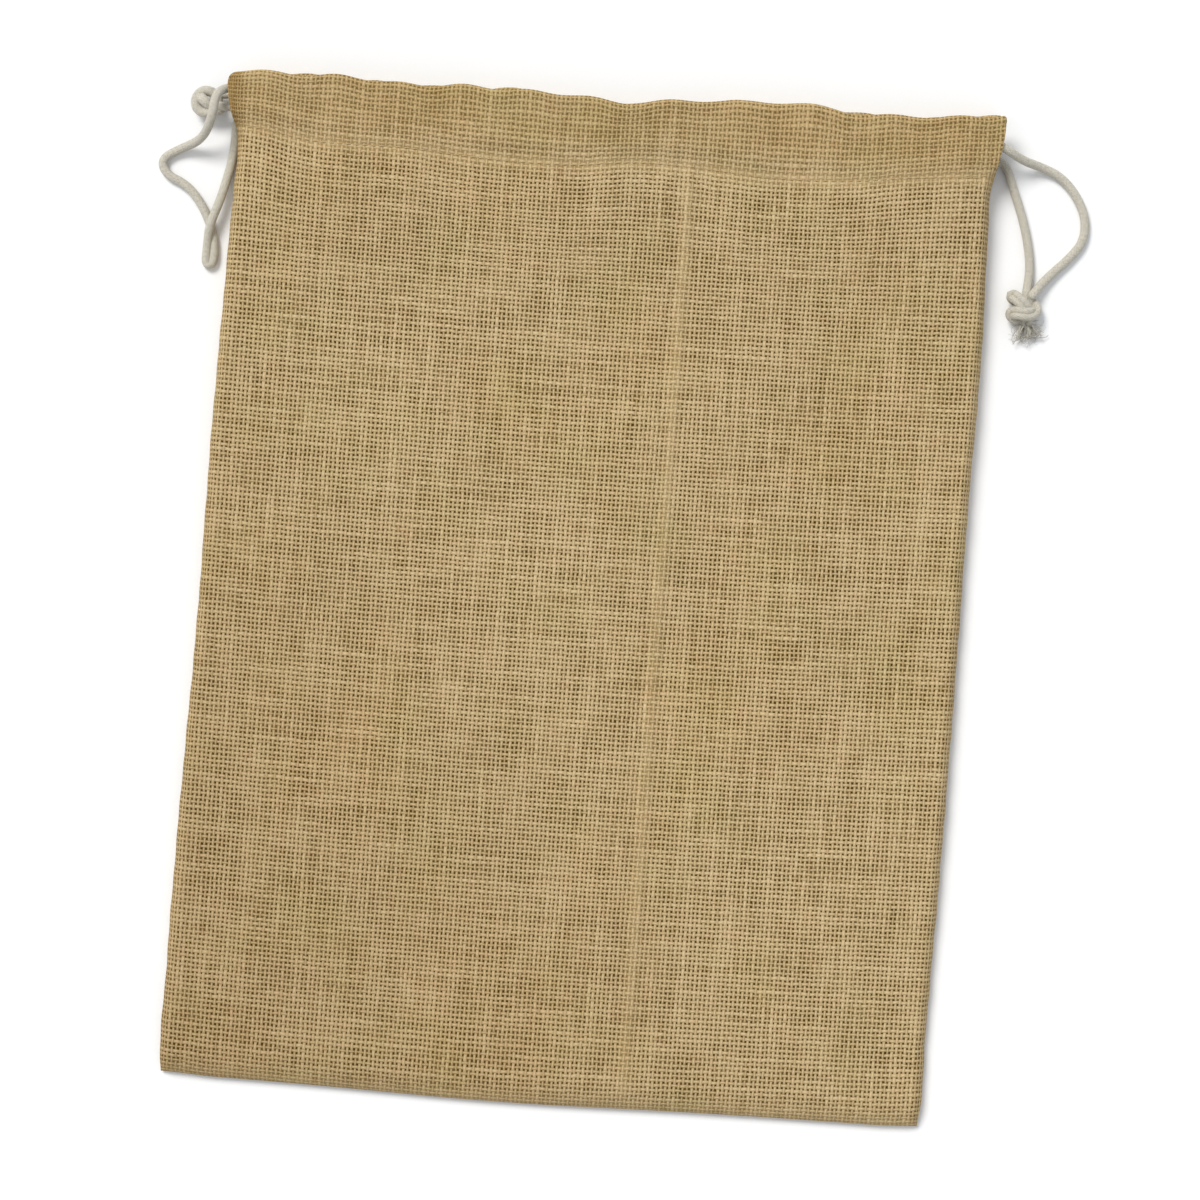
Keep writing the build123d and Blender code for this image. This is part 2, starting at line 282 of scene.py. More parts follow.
# ---------------------------------------------------------------- curves and surfaces
def smoothstep(value, low=0.0, high=1.0):
    """0 before low, 1 after high, and a smooth rise between them."""
    share = np.clip((value - low) / (high - low), 0.0, 1.0)
    return share * share * (3.0 - 2.0 * share)


def bump(value, centre, width):
    """A smooth hump of height 1 at centre."""
    return np.exp(-(((value - centre) / width) ** 2))


def through(knots, at):
    """Values at the places at of a smooth curve through knots, which are (place, value) pairs."""
    place, value = np.array(knots, float).T
    slope = np.gradient(value, place)
    left = np.clip(np.searchsorted(place, at) - 1, 0, len(place) - 2)
    span = place[left + 1] - place[left]
    share = np.clip((at - place[left]) / span, 0.0, 1.0)
    square, cube = share**2, share**3
    return (
        (2 * cube - 3 * square + 1) * value[left]
        + (cube - 2 * square + share) * span * slope[left]
        + (3 * square - 2 * cube) * value[left + 1]
        + (cube - square) * span * slope[left + 1]
    )


def lengths_along(points):
    """Distance along a line of points, at each of them."""
    steps = np.linalg.norm(np.diff(points, axis=0), axis=1)
    return np.concatenate([[0.0], np.cumsum(steps)])


def evenly(points, spacing):
    """The same line with points that are spacing apart."""
    along = lengths_along(points)
    count = max(2, round(along[-1] / spacing) + 1)
    at = np.linspace(0.0, along[-1], count)
    return np.stack([np.interp(at, along, points[:, axis]) for axis in range(3)], axis=1)


def spline_line(route, spacing):
    """Evenly spaced points of the smooth NURBS line that the route's points control."""
    curve = bpy.data.curves.new("route", "CURVE")
    curve.dimensions = "3D"
    curve.resolution_u = 24
    line = curve.splines.new("NURBS")
    line.points.add(len(route) - 1)
    for point, place in zip(line.points, route):
        point.co = (*place, 1.0)
    line.order_u = min(3, len(route))
    line.use_endpoint_u = True
    holder = bpy.data.objects.new("route", curve)
    mesh = bpy.data.meshes.new_from_object(holder)
    points = np.array([vertex.co[:] for vertex in mesh.vertices])
    bpy.data.meshes.remove(mesh)
    bpy.data.objects.remove(holder)
    bpy.data.curves.remove(curve)
    return evenly(points, spacing)


class Patch:
    """A grid of points with a thread coordinate at each corner, ready to become part of a mesh."""

    def __init__(self, points, threads, wrap=False, flip=False, backing=None):
        self.points = points
        self.threads = threads
        self.wrap = wrap
        self.flip = flip
        self.backing = backing

    def corners(self):
        """Index of each face's four points, and the matching places in the thread grid."""
        rows, columns = self.points.shape[:2]
        row, column = np.meshgrid(
            np.arange(rows - 1), np.arange(columns if self.wrap else columns - 1), indexing="ij")
        around = [(0, 0), (0, 1), (1, 1), (1, 0)]
        if self.flip:
            around.reverse()
        faces = [(row + i) * columns + (column + j) % columns for i, j in around]
        wide = self.threads.shape[1]
        places = [(row + i) * wide + column + j for i, j in around]
        return np.stack(faces, -1).reshape(-1, 4), np.stack(places, -1).reshape(-1)


def sharpen_borders(mesh):
    """Marks the open edges sharp, so that a cut edge doesn't shade the face beside it."""
    edges = np.zeros(len(mesh.loops), np.int32)
    mesh.loops.foreach_get("edge_index", edges)
    single = np.bincount(edges, minlength=len(mesh.edges)) == 1
    mesh.attributes.new("sharp_edge", "BOOLEAN", "EDGE").data.foreach_set("value", single)


def build_mesh(name, patches, material):
    """One smooth object of all the patches, with its thread coordinates and backing."""
    points, faces, threads, backing, first = [], [], [], [], 0
    for patch in patches:
        quads, places = patch.corners()
        faces.append(quads + first)
        threads.append(patch.threads.reshape(-1, 2)[places])
        points.append(patch.points.reshape(-1, 3))
        count = len(points[-1])
        backing.append(np.zeros(count) if patch.backing is None else patch.backing.reshape(-1))
        first += count
    mesh = bpy.data.meshes.new(name)
    mesh.from_pydata(np.concatenate(points), [], np.concatenate(faces))
    layer = mesh.uv_layers.new(name="threads")
    layer.data.foreach_set("uv", np.concatenate(threads).astype(np.float32).ravel())
    plies = mesh.attributes.new("backing", "FLOAT", "POINT")
    plies.data.foreach_set("value", np.concatenate(backing).astype(np.float32))
    mesh.polygons.foreach_set("use_smooth", [True] * len(mesh.polygons))
    sharpen_borders(mesh)
    mesh.materials.append(material)
    mesh.update()
    made = bpy.data.objects.new(name, mesh)
    bpy.context.scene.collection.objects.link(made)
    return made


def thicken(piece, thickness):
    """Gives a sheet its thickness, inwards from the face that shows."""
    solid = piece.modifiers.new("ply", "SOLIDIFY")
    solid.thickness = thickness
    solid.offset = -1.0


def tube(line, radius, sides, turns=1.0, pitch=1.0, relief=None):
    """A round patch along a line. radius is a number or one for each point."""
    forward = np.gradient(line, axis=0)
    forward /= np.linalg.norm(forward, axis=1)[:, None]
    upright = np.array([0.0, 0.0, 1.0])
    if abs(forward[0] @ upright) > 0.9:
        upright = np.array([1.0, 0.0, 0.0])
    normals = np.zeros_like(line)
    current = upright
    for index, direction in enumerate(forward):
        current = current - direction * (current @ direction)
        current = current / np.linalg.norm(current)
        normals[index] = current
    binormals = np.cross(forward, normals)
    angle = np.linspace(0.0, 2.0 * np.pi, sides, endpoint=False)
    along = lengths_along(line)
    size = np.broadcast_to(np.asarray(radius, float), (len(line),))[:, None]
    if relief is not None:
        size = size * (1.0 + relief(angle[None, :], along[:, None]))
    ring = (
        np.cos(angle)[None, :, None] * normals[:, None, :]
        + np.sin(angle)[None, :, None] * binormals[:, None, :]
    )
    points = line[:, None, :] + ring * size[:, :, None]
    around = np.linspace(0.0, turns, sides + 1)
    threads = np.stack(np.broadcast_arrays(around[None, :], along[:, None] / pitch), axis=-1)
    return Patch(points, threads, wrap=True)


def rounded_ends(count, spacing, radius):
    """Radius along a cord whose ends close in a small dome."""
    share = np.arange(count) * spacing / radius
    share = np.clip(np.minimum(share, share[::-1]), 0.0, 1.0)
    return radius * np.sqrt(np.clip(1.0 - (1.0 - share) ** 2, 0.002, 1.0))


# ---------------------------------------------------------------- shape of the cloth
def ripple(x, phase):
    """Uneven soft waves across the gathered mouth, between -1 and 1."""
    wander = 0.9 * np.sin(x / 0.041 + phase)
    return 0.62 * np.sin(x / 0.00435 + 1.1 + wander + phase) + 0.38 * np.sin(x / 0.0071 + 2.3 * phase)


def swell(x, y):
    """Broad, low unevenness of cloth that has been folded and lies loose."""
    return MM * (
        0.45 * np.sin(x / 0.031 + 1.3) * np.sin(y / 0.052 + 0.7)
        + 0.30 * np.sin(x / 0.017 - y / 0.024 + 2.1)
        + 0.22 * np.sin(x / 0.0105 + y / 0.071 + 0.4)
    )


def crown_height(y):
    """Height of the front panel's middle, up to the row of stitches."""
    rise = np.clip((y - BOTTOM_Y - BOTTOM_RUN) / (SEAM_TOP_Y - BOTTOM_Y - BOTTOM_RUN), 0.0, 1.0)
    return CROWN_AT_BOTTOM + (CROWN_Z - CROWN_AT_BOTTOM) * rise


def front_height(y):
    """Height of the outer face of the front panel and of its channel, before any wave."""
    full = FRONT_TOP - 0.1 * MM - CROWN_Z
    approach = 0.62 * full * smoothstep(y, STITCH_Y - 70 * MM, STITCH_Y + 1 * MM)
    channel = 0.38 * full * smoothstep(y, STITCH_Y - 2 * MM, PINCH_Y + 6.5 * MM)
    groove = 0.30 * MM * bump(y, STITCH_Y, 1.3 * MM)
    return crown_height(y) + approach + channel - groove


def front_wave(x, y, side, height):
    """How far the front face stands above its plain shape: ripples, swells and the fold's crease."""
    channel = smoothstep(y, PINCH_Y, PINCH_Y + 6 * MM)
    lift = height * channel * (0.5 + 0.5 * ripple(x, 0.4))
    below = smoothstep(y, PINCH_Y - 60 * MM, PINCH_Y - 4 * MM) ** 2 * (1.0 - channel)
    panel = smoothstep(y, BOTTOM_Y + 3 * MM, BOTTOM_Y + 30 * MM) * (1.0 - channel)
    wave = lift + 0.55 * height * below * ripple(x, 0.4) + panel * swell(x, y)
    ridge = 0.60 * MM * bump(x, CREASE_X, 2.0 * MM)
    ditch = 0.45 * MM * bump(x, CREASE_X - 3.6 * MM, 1.7 * MM)
    return wave + (ridge - ditch) * panel * (side > 0)


def laid_shift(x, y):
    """How far the cloth lies off its straight bottom edge, row of stitches and mouth, along Y."""
    sag = -1.2 * MM - 1.7 * MM * bump(x, -18 * MM, 65 * MM) + 0.8 * MM * smoothstep(np.abs(x), 0.130, 0.152)
    low = 1.0 - smoothstep(y, BOTTOM_Y, BOTTOM_Y + 40 * MM)
    row = smoothstep(y, STITCH_Y - 60 * MM, STITCH_Y)
    crest = np.clip((y - STITCH_Y) / (TOP_Y - STITCH_Y), 0.0, 1.0)
    return sag * low + through(STITCH_LINE, x) * row * (1.0 - crest) + through(MOUTH_LINE, x) * crest


class Section:
    """The line that one panel follows from its bottom seam, over the crest, to the tail of its hem."""

    def __init__(self, y, z, outer, crest):
        self.y, self.z, self.outer, self.crest = y, z, outer, crest
        self.along = lengths_along(np.stack([y, z], axis=1))


def outer_share(before, facing, count):
    """How far each point of a section is on its outer face: 1 up to the crest, 0 inside."""
    share = np.zeros(count)
    share[:before] = 1.0
    share[before:before + len(facing)] = facing
    return share


def front_section():
    """The front panel: up from the bottom seam, along its crown, over the crest and back inside."""
    quarter = np.linspace(0.0, np.pi / 2, 12)
    low_y = BOTTOM_Y + BOTTOM_RUN * (1.0 - np.cos(quarter))
    low_z = SEAM_Z + (CROWN_AT_BOTTOM - SEAM_Z) * np.sin(quarter)
    radius = (FRONT_TOP - FRONT_BASE) / 2
    crest_y = TOP_Y - CREST_PULL - radius
    body_y = np.concatenate([
        np.arange(low_y[-1] + PANEL_STEP, SEAM_TOP_Y - 4 * MM, PANEL_STEP),
        np.arange(SEAM_TOP_Y - 3.5 * MM, crest_y, MOUTH_STEP)])
    half = np.linspace(np.pi / 2, -np.pi / 2, CREST_POINTS)
    turn_y = crest_y + radius * np.cos(half)
    turn_z = (FRONT_TOP + FRONT_BASE) / 2 + radius * np.sin(half)
    inner_y = np.arange(crest_y - 1.5 * MM, TAIL_Y, -2.0 * MM)
    y = np.concatenate([low_y, body_y, turn_y, inner_y])
    z = np.concatenate([low_z, front_height(body_y), turn_z, np.full(len(inner_y), FRONT_BASE)])
    outer = outer_share(len(low_y) + len(body_y), (1.0 + np.sin(half)) / 2, len(y))
    return Section(y, z, outer, crest_y)


def back_section():
    """The back panel: flat on its outer face, over its own crest and down to the hem's tail."""
    quarter = np.linspace(0.0, np.pi / 2, 8)
    low_y = BOTTOM_Y + 0.3 * MM + 2.4 * MM * (1.0 - np.cos(quarter))
    low_z = (SEAM_Z - 0.2 * MM) * (1.0 - np.sin(quarter))
    radius = BACK_FOLD_TOP / 2
    crest_y = TOP_Y + 0.4 * MM - radius
    body_y = np.arange(low_y[-1] + BACK_STEP, crest_y, BACK_STEP)
    half = np.linspace(-np.pi / 2, np.pi / 2, CREST_POINTS)
    turn_y = crest_y + radius * np.cos(half)
    turn_z = radius + radius * np.sin(half)
    inner_y = np.arange(crest_y - 1.5 * MM, TAIL_Y, -1.5 * MM)
    slope = smoothstep(inner_y, PINCH_Y - 2 * MM, PINCH_Y + 6 * MM)
    inner_z = 2.05 * MM + (BACK_FOLD_TOP - 2.05 * MM) * slope
    y = np.concatenate([low_y, body_y, turn_y, inner_y])
    z = np.concatenate([low_z, np.zeros(len(body_y)), turn_z, inner_z])
    outer = outer_share(len(low_y) + len(body_y), (1.0 - np.sin(half)) / 2, len(y))
    return Section(y, z, outer, crest_y)


def cloth_patch(section, side_name, front, cloth):
    """One half of a panel, from the middle of the pouch to its side, as a patch of cloth."""
    side = SIDES[side_name]
    y, z, outer = section.y, section.z, section.outer
    mouth = smoothstep(y, SEAM_TOP_Y + 1 * MM, PINCH_Y + 4 * MM)
    outline = (
        through(OUTLINES[side_name], y)
        + 0.09 * MM * np.sin(y / 0.0023 + 2 * side)
        + 0.07 * MM * np.sin(y / 0.0061 + side)
    )
    width = outline - (1.0 - outer) * HEM_INSET
    rolled = ROLLED[side_name]
    if front:
        roll = (4.6 + 2.9 * mouth * rolled - 1.6 * mouth * (1.0 - rolled)) * MM
        held_up = smoothstep(y, 177 * MM, 180 * MM) * (1.0 - smoothstep(y, 193.5 * MM, 196 * MM))
        drop = (z - SEAM_Z) * (1.0 - mouth) + 1.2 * MM * mouth * outer * (1.0 - 0.85 * held_up)
    else:
        roll = np.full(len(y), 2.5 * MM)
        drop = -np.clip(SEAM_Z - 0.15 * MM - z, 0.0, None) * (1.0 - 0.5 * mouth) * outer
    flat = np.linspace(0.0, 1.0, ACROSS_POINTS)[None, :]
    angle = np.linspace(0.0, np.pi / 2, ROLL_POINTS)[None, 1:]
    across = np.concatenate([
        flat * (width - roll)[:, None],
        (width - roll)[:, None] + roll[:, None] * np.sin(angle)], axis=1)
    fall = np.concatenate([np.zeros((1, ACROSS_POINTS)), 1.0 - np.cos(angle)], axis=1)
    height = z[:, None] - drop[:, None] * fall
    depth = np.broadcast_to(y[:, None], across.shape).copy()
    near_crest = smoothstep(y, section.crest - 12 * MM, section.crest)[:, None]
    depth += 1.15 * cloth.pucker * near_crest * ripple(across * side, 1.7 if front else 3.1)
    depth += laid_shift(across * side, y[:, None])
    if front:
        level = (1.0 - fall) * outer[:, None]
        height += level * front_wave(across * side, y[:, None], side, cloth.pucker)
    points = np.stack([side * across, depth, height], axis=-1)
    curl = np.concatenate([[[0.0]], np.diff(angle, prepend=0.0)], axis=1)
    arc = np.sqrt((roll[:, None] * np.cos(angle)) ** 2 + (drop[:, None] * np.sin(angle)) ** 2)
    tighter = 1.0 + 2.3 * rolled * mouth[:, None] * np.linspace(0.0, 1.0, arc.shape[1])
    arc = np.cumsum(arc * curl[:, 1:] * tighter, axis=1)
    around = np.concatenate([across[:, :ACROSS_POINTS], (width - roll)[:, None] + arc], axis=1)
    rows = section.along[:, None] - ROW_BOW * around**2
    threads = np.stack([
        side * around / cloth.yarn_pitch + 0.5,
        np.broadcast_to(rows, around.shape) / cloth.row_pitch], axis=-1)
    backing = cloth_backing(section, side, across, fall, front, rolled * mouth[:, None])
    return Patch(points, threads, flip=(side < 0) == front, backing=backing)


def cloth_backing(section, side, across, fall, front, dense):
    """How far the gaps are filled by cloth close behind, or by yarns pressed together."""
    y = section.y[:, None]
    double = 0.34 * smoothstep(y, PINCH_Y - 1 * MM, PINCH_Y + 1 * MM)
    tail = 0.90 * bump(y, STITCH_Y + 0.3 * MM, 3.2 * MM)
    bottom = 0.85 * bump(y, BOTTOM_Y, 4.5 * MM)
    crease = 0.72 * bump(across * side, CREASE_X, 2.2 * MM) * (y < SEAM_TOP_Y) * front
    edge = (0.30 + 0.42 * dense) * np.sqrt(fall)
    together = [np.broadcast_to(part, across.shape) for part in (double, tail, bottom, crease, edge)]
    return np.maximum.reduce(together)


# ---------------------------------------------------------------- materials
class Wiring:
    """Short words for adding nodes to one tree and joining them up."""

    def __init__(self, tree):
        self.tree = tree

    def node(self, kind, **settings):
        made = self.tree.nodes.new(kind)
        for name, value in settings.items():
            setattr(made, name, value)
        return made

    def feed(self, socket, value):
        if isinstance(value, bpy.types.NodeSocket):
            self.tree.links.new(value, socket)
        else:
            socket.default_value = value

    def math(self, operation, *values, clamp=False):
        made = self.node("ShaderNodeMath", operation=operation, use_clamp=clamp)
        for socket, value in zip(made.inputs, values):
            self.feed(socket, value)
        return made.outputs[0]

    def mix(self, share, first, second):
        made = self.node("ShaderNodeMix", data_type="FLOAT")
        for index, value in ((0, share), (2, first), (3, second)):
            self.feed(made.inputs[index], value)
        return made.outputs[0]

    def blend_colours(self, share, first, second, kind="MIX"):
        made = self.node("ShaderNodeMix", data_type="RGBA", blend_type=kind)
        for index, value in ((0, share), (6, first), (7, second)):
            self.feed(made.inputs[index], value)
        return made.outputs[2]

    def vector(self, x, y, z=0.0):
        made = self.node("ShaderNodeCombineXYZ")
        for socket, value in zip(made.inputs, (x, y, z)):
            self.feed(socket, value)
        return made.outputs[0]

    def parts(self, vector):
        made = self.node("ShaderNodeSeparateXYZ")
        self.feed(made.inputs[0], vector)
        return made.outputs[0], made.outputs[1], made.outputs[2]

    def noise(self, vector, scale, detail=2.0, output=0):
        made = self.node("ShaderNodeTexNoise")
        self.feed(made.inputs["Vector"], vector)
        self.feed(made.inputs["Scale"], scale)
        self.feed(made.inputs["Detail"], detail)
        return made.outputs[output]

    def threads(self):
        return self.node("ShaderNodeUVMap", uv_map="threads").outputs[0]

    def place(self, group, **values):
        """Places a node group and sets its inputs; underscores stand for spaces."""
        made = self.node("ShaderNodeGroup", node_tree=group)
        for name, value in values.items():
            self.feed(made.inputs[name.replace("_", " ")], value)
        return made.outputs


def new_group(name, inputs, outputs):
    """An empty shader node group with named sockets, its wiring, and its two end nodes' sockets."""
    tree = bpy.data.node_groups.new(name, "ShaderNodeTree")
    for socket_name, kind, value in inputs:
        socket = tree.interface.new_socket(socket_name, in_out="INPUT", socket_type=kind)
        if value is not None:
            socket.default_value = value
    for socket_name, kind in outputs:
        tree.interface.new_socket(socket_name, in_out="OUTPUT", socket_type=kind)
    wiring = Wiring(tree)
    given = wiring.node("NodeGroupInput").outputs
    wanted = wiring.node("NodeGroupOutput").inputs
    return tree, wiring, given, wanted


def plain_weave_group():
    """Over-and-under weave of single yarns, one to each whole number of the thread coordinates."""
    name = "plain weave"
    if name in bpy.data.node_groups:
        return bpy.data.node_groups[name]
    number = "NodeSocketFloat"
    tree, w, given, wanted = new_group(
        name,
        [("Threads", "NodeSocketVector", None), ("Yarn Width", number, 0.575),
         ("Row Width", number, 0.565), ("Unevenness", number, 0.36), ("Wobble", number, 0.5),
         ("Edge", number, 0.08), ("Backing", number, 0.0)],
        [("Gap", number), ("Height", number), ("Tone", number), ("Over", number)])
    drift = w.noise(given["Threads"], 0.45, 3.0, output=1)
    centred = w.node("ShaderNodeVectorMath", operation="SUBTRACT")
    w.feed(centred.inputs[0], drift)
    centred.inputs[1].default_value = (0.5, 0.5, 0.5)
    scaled = w.node("ShaderNodeVectorMath", operation="SCALE")
    w.feed(scaled.inputs[0], centred.outputs[0])
    w.feed(scaled.inputs["Scale"], given["Wobble"])
    moved = w.node("ShaderNodeVectorMath", operation="ADD")
    w.feed(moved.inputs[0], given["Threads"])
    w.feed(moved.inputs[1], scaled.outputs[0])
    across, along, _ = w.parts(moved.outputs[0])
    column = w.math("ROUND", across)
    row = w.math("ROUND", along)
    yarn_place = w.vector(w.math("MULTIPLY", column, 7.31), w.math("MULTIPLY", along, 0.085), 1.5)
    yarn_tone = w.noise(yarn_place, 1.0, 2.5)
    row_place = w.vector(w.math("MULTIPLY", across, 0.085), w.math("MULTIPLY", row, 7.31), 6.5)
    row_tone = w.noise(row_place, 1.0, 2.5)
    shapes = []
    for place, middle, tone, width in (
        (across, column, yarn_tone, "Yarn Width"), (along, row, row_tone, "Row Width")):
        away = w.math("ABSOLUTE", w.math("SUBTRACT", place, middle))
        spare = w.math("MULTIPLY", w.math("SUBTRACT", tone, 0.5), given["Unevenness"])
        half = w.math("MAXIMUM", w.math("ADD", w.math("MULTIPLY", given[width], 0.5), spare), 0.12)
        share = w.math("DIVIDE", away, half)
        profile = w.math("SQRT", w.math("SUBTRACT", 1.0, w.math("MULTIPLY", share, share), clamp=True))
        inside = w.math("DIVIDE", w.math("SUBTRACT", half, away), given["Edge"])
        shapes.append((profile, w.math("ADD", inside, 0.5, clamp=True)))
    (yarn_profile, yarn_cover), (row_profile, row_cover) = shapes
    crossing = w.math(
        "MULTIPLY", w.math("COSINE", w.math("MULTIPLY", across, math.pi)),
        w.math("COSINE", w.math("MULTIPLY", along, math.pi)))
    yarn_height = w.math("MULTIPLY", yarn_profile, w.math("MULTIPLY_ADD", crossing, 0.46, 0.54))
    row_height = w.math("MULTIPLY", row_profile, w.math("MULTIPLY_ADD", crossing, -0.46, 0.54))
    over = w.math("MULTIPLY_ADD", w.math("SUBTRACT", yarn_height, row_height), 5.0, 0.5, clamp=True)
    cell = w.vector(w.math("FLOOR", across), w.math("FLOOR", along))
    spot = w.node("ShaderNodeTexWhiteNoise", noise_dimensions="2D")
    w.feed(spot.inputs["Vector"], cell)
    patchy = w.noise(given["Threads"], 0.11, 2.0)
    filling = w.math("MULTIPLY", given["Backing"], w.math("MULTIPLY_ADD", patchy, 1.2, 0.5), clamp=True)
    shade = w.math("MULTIPLY_ADD", patchy, 0.8, 0.36)
    depth = w.math("MULTIPLY_ADD", spot.outputs[0], 0.30, shade, clamp=True)
    bare = w.math("SUBTRACT", 1.0, w.math("MAXIMUM", yarn_cover, row_cover))
    open_share = w.math("MULTIPLY", bare, w.math("SUBTRACT", 1.0, filling))
    # Gap is how far the painted shade between the yarns shows: patchy, different from gap to gap, and less
    # where cloth lies close behind.
    w.feed(wanted["Gap"], w.math("MULTIPLY", open_share, depth))
    w.feed(wanted["Height"], w.math("MAXIMUM", yarn_height, row_height))
    w.feed(wanted["Tone"], w.mix(over, row_tone, yarn_tone))
    w.feed(wanted["Over"], over)
    return tree


def fibre_grain_group():
    """Fine streaks of fibre along a yarn: stretched noise, for colour and for relief."""
    name = "fibre grain"
    if name in bpy.data.node_groups:
        return bpy.data.node_groups[name]
    number = "NodeSocketFloat"
    tree, w, given, wanted = new_group(
        name,
        [("Threads", "NodeSocketVector", None), ("Fineness", number, 8.0), ("Stretch", number, 0.15),
         ("Slant", number, 0.4)],
        [("Grain", number)])
    across, along, _ = w.parts(given["Threads"])
    slanted = w.math("MULTIPLY_ADD", along, given["Slant"], across)
    streak = w.vector(
        w.math("MULTIPLY", slanted, given["Fineness"]),
        w.math("MULTIPLY", along, w.math("MULTIPLY", given["Fineness"], given["Stretch"])))
    w.feed(wanted["Grain"], w.noise(streak, 1.0, 3.0))
    return tree


def straw_group():
    """Jute's colours: dark to light by tone, with patches that lean green, gold and red."""
    name = "straw colours"
    if name in bpy.data.node_groups:
        return bpy.data.node_groups[name]
    number, colour = "NodeSocketFloat", "NodeSocketColor"
    tree, w, given, wanted = new_group(
        name,
        [("Threads", "NodeSocketVector", None), ("Tone", number, 0.5), ("Dark", colour, None),
         ("Middle", colour, None), ("Light", colour, None), ("Patches", number, 1.0)],
        [("Color", colour)])
    low = w.math("MULTIPLY", given["Tone"], 2.0, clamp=True)
    high = w.math("MULTIPLY_ADD", given["Tone"], 2.0, -1.0, clamp=True)
    made = w.blend_colours(low, given["Dark"], given["Middle"])
    made = w.blend_colours(high, made, given["Light"])
    for scale, offset, tint in (
        (0.045, 3.0, (0.90, 0.96, 0.80, 1.0)), (0.030, 17.0, (0.98, 0.91, 0.82, 1.0)),
        (0.38, 31.0, (1.0, 0.90, 0.88, 1.0))):
        shifted = w.node("ShaderNodeVectorMath", operation="ADD")
        w.feed(shifted.inputs[0], given["Threads"])
        shifted.inputs[1].default_value = (offset, offset, offset)
        spread = w.noise(shifted.outputs[0], scale, 3.0)
        share = w.math("MULTIPLY_ADD", spread, 3.2, -1.55, clamp=True)
        made = w.blend_colours(w.math("MULTIPLY", share, given["Patches"]), made, tint, "MULTIPLY")
    w.feed(wanted["Color"], made)
    return tree


def opaque(colour):
    """A colour setting as the four numbers that a socket takes."""
    return (*colour, 1.0)


def new_material(name, roughness, sheen=0.0, specular=0.2):
    """A material with a bare shader: its wiring and the shader's inputs."""
    material = bpy.data.materials.new(name)
    material.use_nodes = True
    material.node_tree.nodes.clear()
    w = Wiring(material.node_tree)
    shader = w.node("ShaderNodeBsdfPrincipled")
    output = w.node("ShaderNodeOutputMaterial")
    w.feed(output.inputs["Surface"], shader.outputs[0])
    shader.inputs["Roughness"].default_value = roughness
    shader.inputs["Specular IOR Level"].default_value = specular
    shader.inputs["Sheen Weight"].default_value = sheen
    return material, w, shader.inputs


def relief(w, inputs, height, distance, strength=1.0):
    """Feeds a height into the shader's normal."""
    made = w.node("ShaderNodeBump")
    made.inputs["Strength"].default_value = strength
    made.inputs["Distance"].default_value = distance
    w.feed(made.inputs["Height"], height)
    w.feed(inputs["Normal"], made.outputs[0])


def jute_cloth_material(cloth):
    """Open plain weave of single jute yarns."""
    name = "woven jute"
    if name in bpy.data.materials:
        return bpy.data.materials[name]
    material, w, inputs = new_material(name, 0.9, specular=0.03)
    threads = w.threads()
    backing = w.node("ShaderNodeAttribute", attribute_name="backing").outputs["Fac"]
    weave = w.place(plain_weave_group(), Threads=threads, Backing=backing)
    across, along, _ = w.parts(threads)
    grain = fibre_grain_group()
    up_yarns = w.place(grain, Threads=threads)["Grain"]
    cross_yarns = w.place(grain, Threads=w.vector(along, across))["Grain"]
    fibres = w.mix(weave["Over"], cross_yarns, up_yarns)
    tone = w.math("MULTIPLY_ADD", w.math("SUBTRACT", weave["Tone"], 0.5), 0.75, -0.26)
    tone = w.math("MULTIPLY_ADD", fibres, 1.0, tone)
    # Painted highlight on the yarns' crowns and crossings and painted shade along their edges, from the
    # weave's height.
    tone = w.math("MULTIPLY_ADD", weave["Height"], 0.62, tone)
    straw = w.place(
        straw_group(), Threads=threads, Tone=tone, Dark=opaque(cloth.dark_straw),
        Middle=opaque(cloth.mid_straw), Light=opaque(cloth.light_straw), Patches=0.6)["Color"]
    x, y, _ = w.parts(w.node("ShaderNodeTexCoord").outputs["Object"])
    corner = w.math("MULTIPLY_ADD", x, -2.6, w.math("MULTIPLY_ADD", y, -2.2, -0.05), clamp=True)
    channel = w.math("MULTIPLY_ADD", y, 110.0, -110.0 * STITCH_Y, clamp=True)
    # Painted shade on the rolled left end of the mouth and channel, within about 8 mm of the left side.
    edge = w.math("MULTIPLY_ADD", x, -210.0, -210.0 * (MOUTH_X - 8 * MM), clamp=True)
    edge = w.math("MULTIPLY", edge, w.math("MULTIPLY_ADD", y, 70.0, -70.0 * (STITCH_Y - 14 * MM), clamp=True))
    for share, tint in (
        (corner, (0.79, 0.74, 0.70, 1.0)),
        (channel, (0.88, 0.85, 0.78, 1.0)),
        # painted shade of the rolled left end
        (edge, (0.82, 0.76, 0.64, 1.0)),
    ):
        straw = w.blend_colours(share, straw, tint, "MULTIPLY")
    w.feed(inputs["Base Color"], w.blend_colours(weave["Gap"], straw, opaque(cloth.gap)))
    height = w.math("MULTIPLY_ADD", fibres, 0.18, weave["Height"])
    relief(w, inputs, height, 0.40 * MM, 0.8)
    return material


def thread_material(name, dark, middle, light):
    """Twisted sewing thread."""
    if name in bpy.data.materials:
        return bpy.data.materials[name]
    material, w, inputs = new_material(name, 0.8)
    threads = w.threads()
    grain = w.place(fibre_grain_group(), Threads=threads, Fineness=6.0, Slant=1.2)["Grain"]
    straw = w.place(
        straw_group(), Threads=threads, Tone=w.math("MULTIPLY_ADD", grain, 1.6, -0.3), Dark=opaque(dark),
        Middle=opaque(middle), Light=opaque(light), Patches=0.3)["Color"]
    w.feed(inputs["Base Color"], straw)
    relief(w, inputs, grain, 0.10 * MM)
    return material


def jute_thread_material(cloth):
    """The jute-coloured thread of the seams."""
    return thread_material("jute sewing thread", cloth.dark_straw, cloth.mid_straw, cloth.light_straw)


